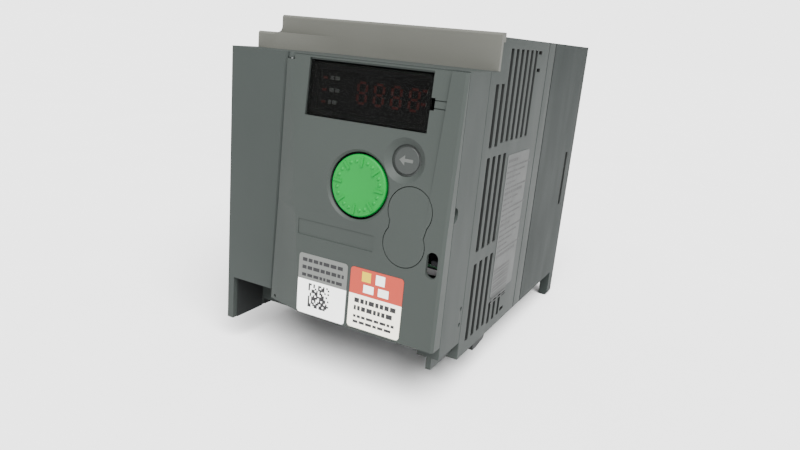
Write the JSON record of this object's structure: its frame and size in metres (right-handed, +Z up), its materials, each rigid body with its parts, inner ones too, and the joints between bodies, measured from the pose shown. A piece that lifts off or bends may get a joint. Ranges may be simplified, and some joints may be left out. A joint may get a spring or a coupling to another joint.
{
  "type": "variable frequency drive",
  "caption": "Wall mounted motor drive with louvred casing, hinged front door, jog dial, exit key, display window, heatsink with fan and mounting feet.",
  "frame": {"origin": "on the mounting plane of the rear shroud, at the centre of the four fixing points", "axes": "+X to the right seen from the front, +Y from the door back into the wall, +Z up"},
  "size_m": [0.1064, 0.1739, 0.146],
  "materials": {
    "casing_grey": "fine moulded texture",
    "door_grey": "fine moulded texture",
    "cover_grey": "fine moulded texture",
    "window_smoke": "smoked, polished",
    "dial_green": "satin",
    "button_dark": "soft touch",
    "label_silver": "printed film",
    "label_orange": "printed film",
    "display_red": "translucent",
    "module_black": "moulded",
    "rotor_black": "moulded",
    "carrier_black": "moulded",
    "terminal_green": "moulded",
    "steel": "zinc plated",
    "brass": "turned",
    "board_green": "solder mask",
    "aluminium": "extruded",
    "capacitor_sleeve": "shrink sleeve",
    "coil_amber": "tape wrapped",
    "nylon_white": "moulded"
  },
  "bodies": {
    "root": {"main_casing": "casing_grey", "front_housing": "casing_grey", "cable_guard": "casing_grey", "rear_shroud": "casing_grey", "top_cover": "cover_grey", "display_window": "window_smoke", "side_label": "label_silver", "display_digits": "display_red", "indicator_lamps": "display_red", "display_module": "module_black", "encoder_body": "module_black", "exit_switch": "module_black", "power_module": "module_black", "data_socket": "module_black", "relays": "module_black", "control_chips": "module_black", "fan_frame": "module_black", "fan_guard": "module_black", "keypad_carrier": "carrier_black", "insulating_shield": "carrier_black", "compartment_liner": "carrier_black", "base_clip": "carrier_black", "control_terminals": "terminal_green", "power_terminals": "terminal_green", "upper_hinge_pin": "steel", "lower_hinge_pin": "steel", "keypad_screws": "steel", "board_screws": "steel", "terminal_screws": "steel", "earth_screws": "steel", "earth_plate": "steel", "board_pillars": "brass", "keypad_pillars": "brass", "control_pillars": "brass", "keypad_board": "board_green", "control_board": "board_green", "power_board": "board_green", "heatsink": "aluminium", "dc_capacitors": "capacitor_sleeve", "switching_transformer": "coil_amber", "filter_choke": "coil_amber", "film_capacitor": "coil_amber", "seal_eyelet": "nylon_white"},
    "front_door": {"front_door": "door_grey", "type_label": "label_silver", "notice_label": "label_orange", "blanking_panel": "door_grey"},
    "encoder_plunger": {"encoder_plunger": "nylon_white"},
    "jog_dial": {"jog_dial": "dial_green", "dial_spindle": "steel"},
    "exit_button": {"exit_button": "button_dark"},
    "fan_rotor": {"fan_rotor": "rotor_black"}
  },
  "joints": [
    {"name": "door_hinge", "type": "hinge", "parent": "root", "child": "front_door", "pos_m": [-0.0233, -0.1662, 0.0085], "axis": [0, 0, -1], "range_deg": [0, 95]},
    {"name": "dial_push", "type": "slide", "parent": "root", "child": "encoder_plunger", "axis": [0, 0.9957, -0.0931], "range_m": [0, 0.0008], "stiffness_N_per_m": 500},
    {"name": "dial_turn", "type": "hinge", "parent": "encoder_plunger", "child": "jog_dial", "pos_m": [0.0135, -0.17179, 0.01444], "axis": [0, 0.9957, -0.0931], "continuous": true},
    {"name": "exit_press", "type": "slide", "parent": "root", "child": "exit_button", "axis": [0, 0.9957, -0.0931], "range_m": [0, 0.0007], "stiffness_N_per_m": 400},
    {"name": "fan_spin", "type": "hinge", "parent": "root", "child": "fan_rotor", "pos_m": [0, -0.034, -0.0455], "axis": [0, 0, 1], "continuous": true}
  ]
}
